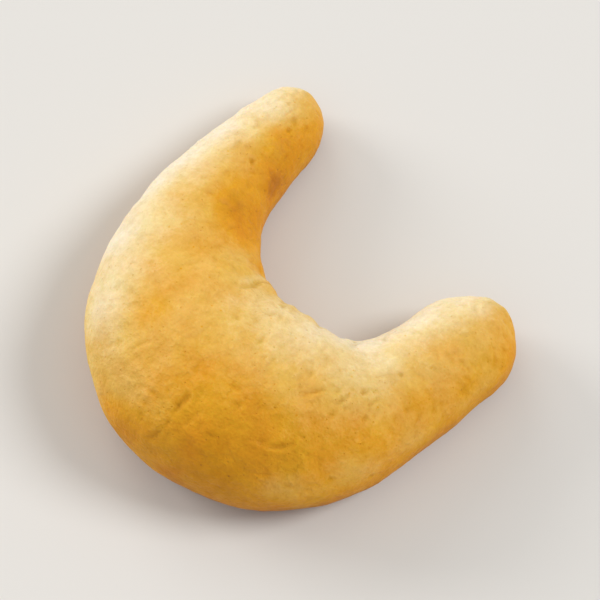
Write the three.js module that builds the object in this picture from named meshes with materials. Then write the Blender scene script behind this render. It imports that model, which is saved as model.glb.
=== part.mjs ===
import * as THREE from 'three';
import { mergeVertices } from 'three/addons/utils/BufferGeometryUtils.js';
import { ImprovedNoise } from 'three/addons/math/ImprovedNoise.js';

// A crescent of baked cheese dough: one roll, thick in the middle and thin at its two horns, bent round
// an open bay and settled on a flat base. Millimetres, +Z up, and the bay opens towards +Y.
// The origin is on the base plane, in the middle of the box round the bread.

// ---- driving dimensions ----

// Ribs are the roll's cross-sections, from the slim horn round to the blunt one. at is the share of the
// roll's length, x and y place the rib's middle, half is half its width, and faces is the direction
// of its outer side in degrees.
const ribs = [
  { at: 0.00, x: -40.9, y: 44.9, half: 11.4, faces: 173 },
  { at: 0.14, x: -40.4, y: 20.4, half: 15.0, faces: 192 },
  { at: 0.29, x: -33.9, y: -2.5, half: 20.2, faces: 210 },
  { at: 0.44, x: -19.0, y: -22.1, half: 26.8, faces: 247 },
  { at: 0.57, x: 1.9, y: -28.2, half: 28.7, faces: 273 },
  { at: 0.70, x: 23.2, y: -18.0, half: 25.9, faces: 310 },
  { at: 0.85, x: 36.5, y: 2.4, half: 17.4, faces: 344 },
  { at: 1.00, x: 40.7, y: 26.4, half: 14.6, faces: 351 },
];

// The round ends past the last ribs: how long they are, how much fuller than a ball they are half way round,
// and how far they lean towards the bay as a share of their length.
const slimEnd = { length: 12.6, full: 0.05, lean: 0.12 };
const bluntEnd = { length: 17.6, full: -0.02, lean: 0.13 };

// Dough sags under its own weight, so a thick rib is flatter than a slim one.
const slimRib = 13;        // half width of a rib that keeps slimRatio
const thickRib = 30;       // half width of a rib that keeps thickRatio
const slimRatio = 0.95;    // height to width
const thickRatio = 0.76;
const standing = 0.86;     // height of a rib's middle over the base, as a share of its half height
const heel = 0.32;         // how much the side below the middle is filled out, down to the base
const footRound = 0.8;     // rounding between the side and the flat base

// Unevenness of hand-rolled dough: how high it stands, how far apart it lies, and where its pattern starts.
const lumps = [
  { high: 1.2, apart: 31, start: 3.7 },
  { high: 0.7, apart: 13, start: 8.2 },
  { high: 0.3, apart: 6.5, start: 5.1 },
];

// Creases and folds, each deepest where it starts and gone where it ends. from and to are places on the
// skin, as [share of the length, degrees round the rib], where 0 degrees is the side of the bay, 90 the top
// and 180 the outer side.
const creases = [
  { from: [0.372, 8], to: [0.460, 50], deep: 1.6, wide: 2.2 },
  { from: [0.536, 4], to: [0.530, 38], deep: 0.9, wide: 1.8 },
  { from: [0.660, 8], to: [0.650, 42], deep: 0.8, wide: 1.8 },
  { from: [0.800, 8], to: [0.775, 42], deep: 0.9, wide: 2.0 },
  { from: [0.561, 116], to: [0.554, 154], deep: 0.6, wide: 1.3 },
  { from: [0.582, 118], to: [0.578, 144], deep: 0.5, wide: 1.3 },
  { from: [0.692, 124], to: [0.610, 131], deep: 0.4, wide: 1.4 },
];

// Swells, or hollows where high is negative, placed in the same way.
const swells = [
  { place: [0.94, 20], high: -0.6, wide: 7 },
];

const along = 84;          // steps from end to end of the roll
const quarter = 14;        // steps in each quarter of a rib
const nearby = 0.01;       // a small share of the roll's length, for finding which way it runs
const touching = 1e-4;     // corners of the box's faces this close are one corner

// ---- the roll ----

const ribCurve = new THREE.CubicInterpolant(
  ribs.map((rib) => rib.at),
  ribs.flatMap((rib) => [rib.x, rib.y, rib.half, THREE.MathUtils.degToRad(rib.faces)]),
  4,
);

// x, y, half width and outer direction at a share of the roll's length. Past its last ribs the roll runs on
// at the rate it had there.
function ribValues(share) {
  const inside = THREE.MathUtils.clamp(share, 0, 1);
  const back = share < inside ? nearby : -nearby;
  const here = Array.from(ribCurve.evaluate(inside));
  const before = Array.from(ribCurve.evaluate(THREE.MathUtils.clamp(inside + back, 0, 1)));
  const steps = (inside - share) / back;
  return here.map((value, i) => value + steps * (value - before[i]));
}

function middleOf(share) {
  const [x, y] = ribValues(share);
  return new THREE.Vector2(x, y);
}

function lengthOfRoll() {
  let length = 0;
  for (let i = 0; i < along; i += 1) {
    length += middleOf(i / along).distanceTo(middleOf((i + 1) / along));
  }
  return length;
}

const rollLength = lengthOfRoll();

// The section at a share of the roll's length: its middle, its half width and height, the direction of
// the bay, and the direction in which the roll runs.
function sectionAt(share) {
  const [x, y, half, faces] = ribValues(share);
  const forward = middleOf(share + nearby).sub(middleOf(share)).normalize();
  const thickness = THREE.MathUtils.clamp((half - slimRib) / (thickRib - slimRib), 0, 1);
  const halfHeight = half * THREE.MathUtils.lerp(slimRatio, thickRatio, thickness);
  return {
    middle: new THREE.Vector3(x, y, standing * halfHeight),
    half,
    halfHeight,
    inward: new THREE.Vector3(-Math.cos(faces), -Math.sin(faces), 0),
    forward: new THREE.Vector3(forward.x, forward.y, 0),
  };
}

// A point of the smooth skin. way is a unit vector: its x leads along the roll and counts only in the two
// round ends, its y leads to the bay and its z leads up.
function smoothSkin(share, way) {
  const end = way.x < 0 ? slimEnd : bluntEnd;
  const full = 1 + 4 * end.full * way.x ** 2 * (1 - way.x ** 2);
  const filled = way.z < 0 ? 1 + heel * way.z ** 2 : 1;
  const section = sectionAt(share + full * way.x * end.length / rollLength);
  const across = section.half * way.y * filled * full + end.lean * end.length * way.x ** 2;
  return section.middle.clone()
    .addScaledVector(section.inward, across)
    .add(new THREE.Vector3(0, 0, section.halfHeight * way.z * full));
}

function skinDirection(share, way) {
  const section = sectionAt(share);
  return section.forward.clone().multiplyScalar(way.x)
    .addScaledVector(section.inward, way.y)
    .add(new THREE.Vector3(0, 0, way.z))
    .normalize();
}

function skinPlace([share, degrees]) {
  const turn = THREE.MathUtils.degToRad(degrees);
  return smoothSkin(share, new THREE.Vector3(0, Math.cos(turn), Math.sin(turn)));
}

// ---- relief ----

const noise = new ImprovedNoise();

function lumpHeight(point) {
  return lumps.reduce((sum, lump) => {
    const at = point.clone().divideScalar(lump.apart).addScalar(lump.start);
    return sum + lump.high * noise.noise(at.x, at.y, at.z);
  }, 0);
}

const creaseLines = creases.map((crease) => ({
  line: new THREE.Line3(skinPlace(crease.from), skinPlace(crease.to)),
  ...crease,
}));

function creaseDepth(point) {
  return creaseLines.reduce((sum, { line, deep, wide }) => {
    const share = line.closestPointToPointParameter(point, true);
    const off = line.at(share, new THREE.Vector3()).distanceTo(point) / wide;
    return sum + deep * (1 - share * share) * Math.exp(-off * off);
  }, 0);
}

function swellHeight(point) {
  return swells.reduce((sum, swell) => {
    const off = skinPlace(swell.place).distanceTo(point) / swell.wide;
    return sum + swell.high * Math.exp(-off * off);
  }, 0);
}

// What would sink below the base is pressed flat, with a small round where the side meets it.
function pressed(height) {
  if (height > footRound) return height;
  if (height < -footRound) return 0;
  return (height + footRound) ** 2 / (4 * footRound);
}

// ---- the bread ----

// A long box's faces, bulged until every rib is round and both ends are domes, then bent into the crescent.
function breadGeometry() {
  const halfLength = along / quarter;
  const box = new THREE.BoxGeometry(2 * halfLength, 2, 2, along, quarter, quarter);
  box.deleteAttribute('normal');
  box.deleteAttribute('uv');
  const geometry = mergeVertices(box, touching);
  geometry.clearGroups();
  const corner = geometry.attributes.position;
  const bulge = (value) => Math.tan(value * Math.PI / 4);
  for (let i = 0; i < corner.count; i += 1) {
    const reach = halfLength - 1;
    const lengthwise = THREE.MathUtils.clamp(corner.getX(i), -reach, reach);
    const share = (lengthwise + reach) / (2 * reach);
    const way = new THREE.Vector3(
      bulge(corner.getX(i) - lengthwise),
      bulge(corner.getY(i)),
      bulge(corner.getZ(i)),
    ).normalize();
    const point = smoothSkin(share, way);
    const height = lumpHeight(point) + swellHeight(point) - creaseDepth(point);
    point.addScaledVector(skinDirection(share, way), height);
    corner.setXYZ(i, point.x, point.y, pressed(point.z));
  }
  geometry.computeBoundingBox();
  const middle = geometry.boundingBox.getCenter(new THREE.Vector3());
  geometry.translate(-middle.x, -middle.y, 0);
  geometry.computeVertexNormals();
  return geometry;
}

const crust = new THREE.MeshStandardMaterial({ color: 0xe2ae5c, roughness: 0.6, metalness: 0 });

const bread = new THREE.Mesh(breadGeometry(), crust);
bread.name = 'crescent_bread';

const model = new THREE.Group();
model.add(bread);

export default model;
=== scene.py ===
import math
import random

import bmesh
import bpy
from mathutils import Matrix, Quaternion, Vector, noise
from mathutils.kdtree import KDTree


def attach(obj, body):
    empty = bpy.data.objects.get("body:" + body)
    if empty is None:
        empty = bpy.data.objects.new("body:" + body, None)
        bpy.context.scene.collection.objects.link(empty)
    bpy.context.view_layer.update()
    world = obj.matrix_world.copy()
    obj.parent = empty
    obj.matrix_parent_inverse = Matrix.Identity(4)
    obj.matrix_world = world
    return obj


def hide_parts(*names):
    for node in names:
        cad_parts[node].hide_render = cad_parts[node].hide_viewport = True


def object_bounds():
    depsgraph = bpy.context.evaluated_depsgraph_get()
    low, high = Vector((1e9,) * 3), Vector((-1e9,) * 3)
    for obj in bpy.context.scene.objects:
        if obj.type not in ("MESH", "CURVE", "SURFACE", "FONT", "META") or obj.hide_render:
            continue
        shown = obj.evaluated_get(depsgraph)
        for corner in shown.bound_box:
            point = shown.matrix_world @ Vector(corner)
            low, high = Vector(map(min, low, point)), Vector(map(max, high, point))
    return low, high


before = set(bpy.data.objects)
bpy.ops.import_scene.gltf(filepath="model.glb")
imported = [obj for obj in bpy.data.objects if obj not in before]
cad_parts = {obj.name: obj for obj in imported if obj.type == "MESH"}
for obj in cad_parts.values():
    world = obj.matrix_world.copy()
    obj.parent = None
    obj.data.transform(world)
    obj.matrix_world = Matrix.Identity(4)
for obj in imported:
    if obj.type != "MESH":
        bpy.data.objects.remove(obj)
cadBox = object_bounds()
scene = bpy.context.scene
mm = 0.001


def smoothStep(low, high, value):
    t = min(max((value - low) / (high - low), 0.0), 1.0)
    return t * t * (3.0 - 2.0 * t)


def bell(distance, width):
    return math.exp(-(distance / width) ** 2)


def linearColour(hexCode):
    channels = [int(hexCode[i:i + 2], 16) / 255.0 for i in (0, 2, 4)]
    return [c / 12.92 if c <= 0.04045 else ((c + 0.055) / 1.055) ** 2.4 for c in channels] + [1.0]


# camera, looking down on the bread from its front right
cameraSet = {
    "azimuth": 42.0,
    "elevation": 65.0,
    "distance": 900 * mm,
    "lookAt": Vector((1.0, 4.1, 20.0)) * mm,
    "frameWidth": 163 * mm,     # how much the camera sees at the bread
    "sensor": 36.0,
}


def directionFrom(azimuth, elevation):
    a, e = math.radians(azimuth), math.radians(elevation)
    return Vector((math.sin(a) * math.cos(e), -math.cos(a) * math.cos(e), math.sin(e)))


def aimAt(thing, place, target):
    thing.location = place
    thing.rotation_euler = (target - place).to_track_quat("-Z", "Y").to_euler()


def makeCamera(settings):
    data = bpy.data.cameras.new("camera")
    data.sensor_width = settings["sensor"]
    data.lens = settings["sensor"] * settings["distance"] / settings["frameWidth"]
    camera = bpy.data.objects.new("camera", data)
    scene.collection.objects.link(camera)
    away = directionFrom(settings["azimuth"], settings["elevation"])
    aimAt(camera, settings["lookAt"] + away * settings["distance"], settings["lookAt"])
    scene.camera = camera


makeCamera(cameraSet)
print("camera ready")


# soft studio light, all from far away so that the floor is lit evenly
# azimuths go round as the camera's does, and wide is how many degrees across a lamp looks
lampSet = {
    "soft": {"azimuth": 132, "elevation": 46, "wide": 24, "strength": 1.62},
    "side": {"azimuth": 284, "elevation": 20, "wide": 30, "strength": 1.60},
    "back": {"azimuth": 248, "elevation": 34, "wide": 30, "strength": 0.44},
}
worldSet = {"colour": "FFFFFF", "strength": 0.5}
floorSet = {
    "size": 30.0,
    "colour": "DCD9D4",
    "roughness": 0.9,
    "shine": 0.0,
    "below": 0.1 * mm,          # gap under the bread
}


def makeLamp(name, settings):
    data = bpy.data.lights.new(name, "SUN")
    data.angle = math.radians(settings["wide"])
    data.energy = settings["strength"]
    lamp = bpy.data.objects.new(name, data)
    scene.collection.objects.link(lamp)
    target = cameraSet["lookAt"]
    aimAt(lamp, target + directionFrom(settings["azimuth"], settings["elevation"]), target)


def makeWorld(settings):
    world = bpy.data.worlds.new("studio")
    world.use_nodes = True
    background = world.node_tree.nodes["Background"]
    background.inputs["Color"].default_value = linearColour(settings["colour"])
    background.inputs["Strength"].default_value = settings["strength"]
    scene.world = world


def makeFloor(settings):
    bm = bmesh.new()
    bmesh.ops.create_grid(bm, x_segments=1, y_segments=1, size=settings["size"] / 2)
    bmesh.ops.translate(bm, verts=bm.verts, vec=(0, 0, cadBox[0].z - settings["below"]))
    mesh = bpy.data.meshes.new("floor")
    bm.to_mesh(mesh)
    bm.free()
    floor = bpy.data.objects.new("floor", mesh)
    scene.collection.objects.link(floor)
    material = bpy.data.materials.new("floorPaper")
    material.use_nodes = True
    shader = material.node_tree.nodes["Principled BSDF"]
    shader.inputs["Base Color"].default_value = linearColour(settings["colour"])
    shader.inputs["Roughness"].default_value = settings["roughness"]
    shader.inputs["Specular IOR Level"].default_value = settings["shine"]
    mesh.materials.append(material)


for lampName, lampSettings in lampSet.items():
    makeLamp(lampName, lampSettings)
makeWorld(worldSet)
makeFloor(floorSet)
scene.view_settings.view_transform = "Standard"
print("stage ready")


# the bread; places are millimetres in plan, over the point of the crust that is meant
breadSet = {
    "node": "crescent_bread",
    "sameCorner": 0.001 * mm,     # corners of the node's triangles this close together are one
    "quadBend": 30.0,             # degrees that two triangles may bend where they are joined to a quad
    "quadSkew": 60.0,             # degrees that the quad's corners may be off a right angle
    "smoothing": 2,
    # unevenness of the crust: height, spacing and where the pattern starts
    "swells": [(0.30, 14.0, 3.0), (0.30, 6.5, 11.0), (0.28, 3.4, 23.0), (0.17, 1.9, 31.0)],
    "flankSwell": 0.35,           # share of that height where the crust stands upright
    "flankSlope": (0.2, 0.8),     # upward part of the normal where the share starts to grow, and is 1
    # creases: depth, width and the places that they run through; the first six fold the bay's edge
    "creases": [
        (0.70, 1.0, [(-6.8, 0.8), (-8.2, -1.9), (-7.4, -6.2), (-8.4, -9.2)]),
        (0.50, 1.2, [(0.4, -0.5), (0.9, -2.4), (2.8, -5.6)]),
        (0.30, 0.8, [(4.6, -6.0), (6.0, -10.0)]),
        (0.40, 1.4, [(11.0, 1.8), (11.8, -0.2), (13.8, -3.2)]),
        (0.30, 1.0, [(17.4, 3.4), (18.2, 1.9), (20.0, -1.4)]),
        (0.50, 1.3, [(20.8, 4.8), (21.6, 3.2), (23.6, -0.2)]),
        (0.85, 0.8, [(3.2, -42.4), (3.2, -48.0)]),
        (0.40, 0.7, [(3.5, -48.3), (3.1, -51.9)]),
        (0.45, 0.7, [(2.7, -52.6), (0.7, -55.6)]),
        (0.35, 0.7, [(-11.1, -50.1), (-8.4, -47.9), (-4.8, -47.2), (-3.0, -47.6)]),
        (0.35, 0.7, [(7.0, -50.0), (8.2, -43.5)]),
        (0.38, 0.7, [(-17.6, -43.6), (-16.4, -39.9), (-13.7, -36.4)]),
        (0.60, 0.7, [(27.4, -37.8), (29.6, -36.0), (31.9, -32.6)]),
        (0.45, 0.7, [(23.7, -39.2), (26.8, -37.4)]),
        (0.38, 0.7, [(7.0, -31.6), (11.2, -33.2), (13.8, -33.1)]),
        (0.55, 0.6, [(26.2, -21.0), (27.4, -18.7), (28.2, -17.0)]),
        (0.65, 0.6, [(33.1, -17.4), (33.7, -13.5)]),
        (0.45, 0.6, [(34.0, -22.2), (33.9, -19.1)]),
        (0.60, 0.6, [(35.4, -10.6), (36.0, -6.8)]),
        (0.55, 0.6, [(38.9, -10.4), (39.2, -6.6)]),
        (0.22, 0.8, [(2.9, -20.3), (6.5, -18.9), (10.5, -17.0)]),
        (0.30, 0.6, [(34.8, -3.2), (36.2, 0.4)]),
        (0.30, 0.6, [(27.8, -44.4), (31.7, -41.9)]),
    ],
    # pits and, where the depth is negative, knobs: depth, width and place
    "pits": [
        (0.45, 0.7, (15.2, -33.1)), (0.40, 0.7, (23.8, -20.8)), (0.55, 0.7, (38.4, 2.8)),
        (0.55, 0.7, (45.7, -3.1)), (0.40, 0.6, (42.3, -6.0)), (0.30, 0.7, (50.0, 5.6)),
        (0.30, 0.8, (50.6, 21.8)), (0.35, 0.8, (45.0, 33.3)), (0.35, 0.8, (46.1, 37.2)),
        (0.30, 0.7, (49.0, 33.2)), (0.50, 0.6, (11.6, -21.6)), (0.50, 0.6, (11.0, -25.1)),
        (0.35, 0.7, (36.0, -40.4)), (0.30, 0.6, (31.0, -31.7)), (0.40, 0.7, (43.0, -30.6)),
        (0.30, 0.8, (-21.9, -42.7)), (0.30, 0.7, (-5.1, -50.6)), (0.75, 0.8, (-36.5, 41.4)),
        (0.60, 0.8, (-36.2, 25.4)), (0.30, 0.8, (-31.9, 34.4)), (0.25, 0.7, (-42.3, 47.5)),
        (0.35, 0.8, (-30.5, -20.0)), (0.30, 0.8, (-29.5, 0.9)), (0.25, 0.8, (-19.7, -6.8)),
        (-0.35, 1.3, (-11.8, -1.3)), (-0.30, 1.3, (-5.2, -8.4)), (-0.30, 1.0, (29.0, -32.5)),
        (-0.30, 1.0, (31.5, -36.2)), (-0.30, 0.9, (23.0, -19.1)), (-0.25, 0.9, (22.8, -21.6)),
    ],
    # dimples that crowd round one place
    "crowd": {
        "count": 46,
        "depth": (0.14, 0.42),
        "width": (0.45, 0.7),
        "place": (34.0, -14.0),
        "spread": 7.5,
    },
    # small marks strewn over the whole crust, each between the least and the greatest of its sizes
    "dimples": {"count": 170, "depth": (0.10, 0.34), "width": (0.4, 0.8)},
    "blisters": {"count": 420, "depth": (-0.14, -0.04), "width": (0.8, 1.9)},
    "wrinkles": {
        "count": 160,
        "depth": (0.10, 0.32),
        "width": (0.5, 0.8),
        "length": (2.0, 5.0),
        "towards": (2.0, 22.0),   # middle of the bay, which they roughly run to
        "astray": 0.6,            # radians that they commonly turn away from that
        "bend": 0.12,             # of their half length
        "slope": 0.5,             # least upward part of the normal where they lie
    },
    "seed": 5,
}

# how far each place is baked, from 0, the palest crust, to 1, the brown base; the value also carries a
# painted highlight on the side facing the lamps and painted shade on the side away from them
# a slope gives the upward part of the crust's normal where a change starts and where it is complete
bakeAndLightSet = {
    "top": 0.44,
    "highlightSide": 249,            # azimuth of the side that faces the back lamps, painted pale as a painted highlight
    "highlightPaler": 0.47,              # taken off on that side's shoulder, a painted highlight
    "paleLow": 0.4,             # share of that taken off below the shoulder
    "paleSlope": (-0.4, 0.5),
    "ragged": (9.0, 0.3),       # spacing and depth of the waves in the pale shoulder's lower edge
    "shadeBrowner": 0.25,            # added on the other side, away from the lamps, as painted shade
    "flank": 0.06,              # added where the crust stands upright: partly real browning, partly painted shade
    "flankSlope": (0.9, 0.1),
    "base": 0.42,               # added underneath
    "baseSlope": (0.2, -0.8),
    # broad patches: how much more they are baked, width and place; partly uneven browning, partly
    # painted light: the browner ones on the slim horn's inner side and along the front edge by the
    # base are painted shade, and the paler ones along the outer left rim and at the slim horn's tip
    # are painted highlight
    "patches": [
        (0.20, 6.0, (-34.3, 37.0)), (0.26, 6.0, (-29.5, 27.0)), (0.26, 9.0, (-27.6, 12.0)),
        (0.04, 6.0, (-33.9, 43.8)), (-0.20, 6.0, (-42.4, 43.5)), (0.12, 6.0, (-43.3, 2.8)),
        (-0.10, 6.0, (-46.9, -19.7)), (-0.10, 7.0, (-51.6, 0.5)), (-0.10, 7.0, (-52.0, 14.0)),
        (-0.10, 8.0, (-49.5, 29.0)), (-0.05, 5.0, (4.0, -5.0)), (-0.10, 6.0, (14.5, -4.5)),
        (0.08, 7.0, (-25.1, 7.4)), (0.12, 7.0, (-21.4, -6.0)), (0.12, 9.0, (-28.2, -18.0)),
        (0.10, 8.0, (-15.6, -19.0)), (0.20, 6.0, (-20.1, -31.4)), (0.08, 8.0, (-7.0, -37.5)),
        (-0.12, 6.0, (-11.1, -50.2)), (0.22, 8.0, (-8.1, -56.3)), (0.10, 8.0, (-9.9, -49.0)),
        (0.16, 7.0, (8.5, -56.6)), (-0.08, 5.0, (11.4, -39.6)), (0.08, 9.0, (6.0, -35.0)),
        (0.10, 9.0, (15.3, -39.5)), (0.10, 8.0, (9.9, -47.0)), (0.10, 6.0, (15.8, -51.0)),
        (0.08, 8.0, (22.5, -48.0)), (0.08, 9.0, (25.5, -38.3)), (0.02, 7.0, (41.6, -21.5)),
        (0.02, 8.0, (34.5, -17.0)), (-0.13, 7.0, (45.0, -27.0)), (0.09, 5.0, (41.5, 19.0)),
        (-0.07, 8.0, (13.8, -14.5)), (-0.16, 9.0, (18.8, -0.2)), (-0.14, 8.0, (30.5, -11.5)),
        (-0.13, 8.0, (34.0, 0.6)), (-0.06, 9.0, (11.1, -13.6)), (-0.14, 8.0, (37.8, 22.2)),
        (-0.08, 6.0, (44.2, 8.8)), (-0.14, 6.0, (54.0, 14.5)), (-0.20, 8.0, (50.8, -6.0)),
        (-0.20, 8.0, (48.5, -20.6)), (-0.16, 8.0, (39.4, -38.1)), (-0.12, 6.0, (32.6, -43.3)),
        (-0.13, 6.0, (52.5, 6.5)), (-0.10, 6.0, (-44.6, -15.1)), (-0.12, 7.0, (-33.3, -38.1)),
        (-0.08, 6.0, (41.5, 33.0)), (-0.05, 7.0, (39.5, -8.0)), (0.08, 5.0, (45.4, 1.5)),
        (-0.12, 6.0, (54.0, 22.0)),
    ],
}


def mergedCopyOf(settings, name):
    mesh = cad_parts[settings["node"]].data.copy()
    mesh.name = name
    mesh.materials.clear()
    bm = bmesh.new()
    bm.from_mesh(mesh)
    bmesh.ops.remove_doubles(bm, verts=bm.verts, dist=settings["sameCorner"])
    bmesh.ops.join_triangles(
        bm,
        faces=bm.faces,
        angle_face_threshold=math.radians(settings["quadBend"]),
        angle_shape_threshold=math.radians(settings["quadSkew"]),
    )
    bm.to_mesh(mesh)
    bm.free()
    piece = bpy.data.objects.new(name, mesh)
    scene.collection.objects.link(piece)
    return piece


def subdivided(piece, levels):
    subsurf = piece.modifiers.new("smoothing", "SUBSURF")
    subsurf.levels = levels
    subsurf.render_levels = levels
    bpy.context.view_layer.objects.active = piece
    bpy.ops.object.modifier_apply(modifier=subsurf.name)
    piece.data.shade_smooth()


overBread = 60.0                # a height that is clear of the bread


# the point of the crust straight under a place in plan
def onCrust(piece, plan):
    start = Vector((*plan, overBread)) * mm
    return piece.ray_cast(start, Vector((0, 0, -1)))[1] / mm


def lineShare(point, start, end):
    run = end - start
    share = min(max((point - start).dot(run) / run.length_squared, 0.0), 1.0)
    return (point - start - run * share).length, share


spotReach = 2.6                 # how many widths out a spot has faded away
grooveReach = 4.0               # the same for a groove with its lips
lipHeight = 0.4                 # of a groove's depth
grooveEnd = 0.12                # share of the half wave of its depth that is cut off at each end


# adds a round spot to a list that has one number for each point of the mesh
def addSpot(field, tree, middle, wide, amount):
    for place, index, distance in tree.find_range(middle, spotReach * wide):
        field[index] += amount * bell(distance, wide)


# adds a groove with a raised lip on both sides, deepest in its middle and shallow at its ends
def addGroove(field, tree, points, wide, deep):
    nearest = {}
    for step, (start, end) in enumerate(zip(points, points[1:])):
        reach = (end - start).length / 2 + grooveReach * wide
        for place, index, distance in tree.find_range((start + end) / 2, reach):
            off, share = lineShare(place, start, end)
            if index not in nearest or off < nearest[index][0]:
                nearest[index] = (off, (step + share) / (len(points) - 1))
    for index, (off, share) in nearest.items():
        section = bell(off, wide) - lipHeight * bell(off - 2 * wide, wide)
        along = grooveEnd + (1 - 2 * grooveEnd) * share
        field[index] += deep * section * math.sin(math.pi * along)


def strewnMarks(sunk, piece, tree, places, normals, settings):
    draw = random.Random(settings["seed"])
    for kind in ("dimples", "blisters"):
        marks = settings[kind]
        for count in range(marks["count"]):
            middle = draw.choice(places)
            addSpot(sunk, tree, middle, draw.uniform(*marks["width"]), draw.uniform(*marks["depth"]))
    marks = settings["crowd"]
    for count in range(marks["count"]):
        middle = onCrust(piece, [draw.gauss(plan, marks["spread"]) for plan in marks["place"]])
        addSpot(sunk, tree, middle, draw.uniform(*marks["width"]), draw.uniform(*marks["depth"]))
    marks = settings["wrinkles"]
    upward = [index for index, normal in enumerate(normals) if normal.z > marks["slope"]]
    for count in range(marks["count"]):
        index = draw.choice(upward)
        middle, normal = places[index], normals[index]
        towardsBay = Vector((*marks["towards"], middle.z)) - middle
        run = (towardsBay - normal * towardsBay.dot(normal)).normalized()
        run.rotate(Quaternion(normal, draw.gauss(0, marks["astray"])))
        half = draw.uniform(*marks["length"]) / 2
        bend = run.cross(normal) * draw.uniform(-marks["bend"], marks["bend"]) * half
        points = [middle - run * half, middle + bend, middle + run * half]
        addGroove(sunk, tree, points, draw.uniform(*marks["width"]), draw.uniform(*marks["depth"]))


def swellHeight(place, normal, settings):
    flank = settings["flankSwell"]
    share = flank + (1 - flank) * smoothStep(*settings["flankSlope"], normal.z)
    height = 0.0
    for high, apart, start in settings["swells"]:
        height += high * noise.noise(place / apart + Vector((start, start, start)))
    return height * share


def bakeAndLightOf(place, normal, settings):
    turned = normal.dot(directionFrom(settings["highlightSide"], 0))
    apart, uneven = settings["ragged"]
    edge = normal.z + uneven * noise.noise(place / apart)
    low = settings["paleLow"]
    shoulder = low + (1 - low) * smoothStep(*settings["paleSlope"], edge)
    # the side facing the lamps is painted paler, a painted highlight, and the side away from them is
    # painted browner, painted shade
    bakeAndPaintedLight = settings["top"] - settings["highlightPaler"] * max(turned, 0.0) * shoulder
    bakeAndPaintedLight += settings["shadeBrowner"] * max(-turned, 0.0)
    # upright flanks are browner, partly real browning and partly painted shade
    bakeAndPaintedLight += settings["flank"] * smoothStep(*settings["flankSlope"], normal.z)
    return bakeAndPaintedLight + settings["base"] * smoothStep(*settings["baseSlope"], normal.z)


def makeBread(settings):
    piece = mergedCopyOf(settings, "crescentCrust")
    subdivided(piece, settings["smoothing"])
    mesh = piece.data
    places = [vertex.co / mm for vertex in mesh.vertices]
    normals = [vertex.normal.copy() for vertex in mesh.vertices]
    tree = KDTree(len(places))
    for index, place in enumerate(places):
        tree.insert(place, index)
    tree.balance()

    sunk = [0.0] * len(places)
    for deep, wide, plans in settings["creases"]:
        addGroove(sunk, tree, [onCrust(piece, plan) for plan in plans], wide, deep)
    for deep, wide, plan in settings["pits"]:
        addSpot(sunk, tree, onCrust(piece, plan), wide, deep)
    strewnMarks(sunk, piece, tree, places, normals, settings)

    baked = [bakeAndLightOf(place, normal, bakeAndLightSet) for place, normal in zip(places, normals)]
    # broad patches, some of them painted shade and some painted highlight
    for more, wide, plan in bakeAndLightSet["patches"]:
        addSpot(baked, tree, onCrust(piece, plan), wide, more)

    # the material reads both; it darkens the sunk hollows as painted shade
    mesh.attributes.new("bakeAndPaintedLight", "FLOAT", "POINT")
    mesh.attributes.new("sunk", "FLOAT", "POINT")
    mesh.attributes["bakeAndPaintedLight"].data.foreach_set("value", baked)
    mesh.attributes["sunk"].data.foreach_set("value", [max(deep, 0.0) for deep in sunk])

    for vertex, place, normal, deep in zip(mesh.vertices, places, normals, sunk):
        vertex.co += normal * (swellHeight(place, normal, settings) - deep) * mm
        vertex.co.z = max(vertex.co.z, cadBox[0].z)   # the base stays flat
    print("bread has", len(mesh.polygons), "faces")
    return piece


bread = makeBread(breadSet)


# crust; scales are how many to a metre
crustSet = {
    # by how far it is baked
    "colours": [
        (0.0, "EEDFC0"), (0.2, "E7CC92"), (0.4, "DFB156"),
        (0.6, "DC9B1A"), (0.8, "CF8804"), (1.0, "A8631A"),
    ],
    # patterns; shift is how much more the crust is baked where one is 1, as a crease is where it
    # is a millimetre deep
    "creases": {"shift": 0.14},
    "clouds": {"scale": 75, "detail": 2, "shift": 0.13},
    "blotches": {"scale": 190, "detail": 2, "shift": 0.10},
    "mottle": {"scale": 520, "detail": 2, "shift": 0.10},
    "grain": {"scale": 1300, "detail": 1, "shift": 0.08},
    "freckles": {"scale": 230, "size": 0.11, "shift": 0.20},
    "pores": {"scale": 480, "size": 0.16, "shift": 0.10},
    # what the patterns add to the brightness, and to the height in millimetres; the darkening in
    # creases and other hollows is painted shade, and the darkening of the blotches, mottle and grain
    # falls in the bump's dips, partly random tone and partly painted shade
    "shade": {"creases": -0.18, "blotches": -0.16, "mottle": -0.16, "grain": -0.10},
    "relief": {"blotches": -0.30, "mottle": -0.45, "grain": -0.16, "pores": -0.18},
    "hueDrift": {"scale": 110, "detail": 1, "shift": 0.02},
    # from the lowest of the blotches to the highest, which lie this far on both sides of 0
    "roughness": (0.50, 0.66),
    "blotchRange": 0.25,
    "shine": 0.22,
    "subsurface": 0.18,
    "subsurfaceReach": 2.5 * mm,
    "subsurfaceShares": (1.0, 0.45, 0.15),    # red light goes the whole reach, green and blue less
}


def feed(tree, value, socket):
    if isinstance(value, bpy.types.NodeSocket):
        tree.links.new(value, socket)
    else:
        socket.default_value = value


def mathNode(tree, operation, first, second):
    node = tree.nodes.new("ShaderNodeMath")
    node.operation = operation
    feed(tree, first, node.inputs[0])
    feed(tree, second, node.inputs[1])
    return node.outputs["Value"]


def attributeNode(tree, name):
    node = tree.nodes.new("ShaderNodeAttribute")
    node.attribute_name = name
    return node.outputs["Fac"]


def noiseNode(tree, place, settings):
    node = tree.nodes.new("ShaderNodeTexNoise")
    node.inputs["Scale"].default_value = settings["scale"]
    node.inputs["Detail"].default_value = settings["detail"]
    tree.links.new(place, node.inputs["Vector"])
    return mathNode(tree, "SUBTRACT", node.outputs["Fac"], 0.5)   # 0 on average


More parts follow.
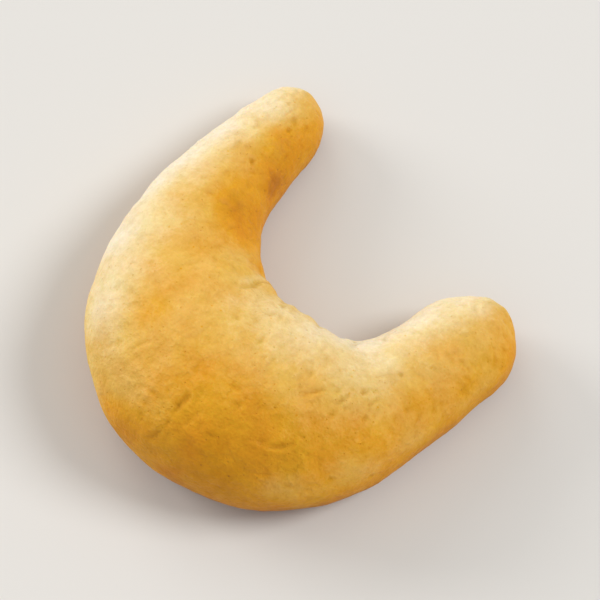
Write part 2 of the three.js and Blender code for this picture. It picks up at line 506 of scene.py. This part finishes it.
# round spots, 1 in their middles and 0 between them
def spotNode(tree, place, settings):
    cells = tree.nodes.new("ShaderNodeTexVoronoi")
    cells.inputs["Scale"].default_value = settings["scale"]
    tree.links.new(place, cells.inputs["Vector"])
    spots = tree.nodes.new("ShaderNodeMapRange")
    spots.interpolation_type = "SMOOTHSTEP"
    spots.inputs["From Min"].default_value = settings["size"]
    spots.inputs["From Max"].default_value = 0.0
    tree.links.new(cells.outputs["Distance"], spots.inputs["Value"])
    return spots.outputs["Result"]


def shifted(tree, value, pattern, shift):
    return mathNode(tree, "ADD", value, mathNode(tree, "MULTIPLY", pattern, shift))


def rampNode(tree, value, colours):
    ramp = tree.nodes.new("ShaderNodeValToRGB")
    stops = ramp.color_ramp.elements
    while len(stops) < len(colours):
        stops.new(0.5)
    for stop, (position, colour) in zip(stops, colours):
        stop.position = position
        stop.color = linearColour(colour)
    tree.links.new(value, ramp.inputs["Fac"])
    return ramp.outputs["Color"]


def crustMaterial(settings):
    material = bpy.data.materials.new("bakedCrust")
    material.use_nodes = True
    tree = material.node_tree
    shader = tree.nodes["Principled BSDF"]
    place = tree.nodes.new("ShaderNodeTexCoord").outputs["Object"]
    baked = attributeNode(tree, "bakeAndPaintedLight")

    patterns = {"creases": attributeNode(tree, "sunk")}
    for name in ("clouds", "blotches", "mottle", "grain"):
        patterns[name] = noiseNode(tree, place, settings[name])
    for name in ("freckles", "pores"):
        patterns[name] = spotNode(tree, place, settings[name])

    tone = baked
    for name, pattern in patterns.items():
        tone = shifted(tree, tone, pattern, settings[name]["shift"])
    driftAndShade = tree.nodes.new("ShaderNodeHueSaturation")
    tree.links.new(rampNode(tree, tone, settings["colours"]), driftAndShade.inputs["Color"])
    hue = noiseNode(tree, place, settings["hueDrift"])
    sameHue, sameValue = 0.5, 1.0
    tree.links.new(shifted(tree, sameHue, hue, settings["hueDrift"]["shift"]), driftAndShade.inputs["Hue"])
    # darker in creases and hollows, painted shade, and in the bump's dips, partly painted shade
    value = sameValue
    for name, lighter in settings["shade"].items():
        value = shifted(tree, value, patterns[name], lighter)
    tree.links.new(value, driftAndShade.inputs["Value"])
    tree.links.new(driftAndShade.outputs["Color"], shader.inputs["Base Color"])

    gloss = tree.nodes.new("ShaderNodeMapRange")
    gloss.inputs["From Min"].default_value = -settings["blotchRange"]
    gloss.inputs["From Max"].default_value = settings["blotchRange"]
    gloss.inputs["To Min"].default_value = settings["roughness"][0]
    gloss.inputs["To Max"].default_value = settings["roughness"][1]
    tree.links.new(patterns["blotches"], gloss.inputs["Value"])
    tree.links.new(gloss.outputs["Result"], shader.inputs["Roughness"])

    height = 0.0
    for name, high in settings["relief"].items():
        height = shifted(tree, height, patterns[name], high)
    bump = tree.nodes.new("ShaderNodeBump")
    bump.inputs["Strength"].default_value = 1.0
    bump.inputs["Distance"].default_value = mm
    tree.links.new(height, bump.inputs["Height"])
    tree.links.new(bump.outputs["Normal"], shader.inputs["Normal"])

    shader.inputs["Specular IOR Level"].default_value = settings["shine"]
    shader.inputs["Subsurface Weight"].default_value = settings["subsurface"]
    shader.inputs["Subsurface Radius"].default_value = settings["subsurfaceShares"]
    shader.inputs["Subsurface Scale"].default_value = settings["subsurfaceReach"]
    return material


bread.data.materials.append(crustMaterial(crustSet))
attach(bread, "root")
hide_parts(breadSet["node"])
print("crust ready")
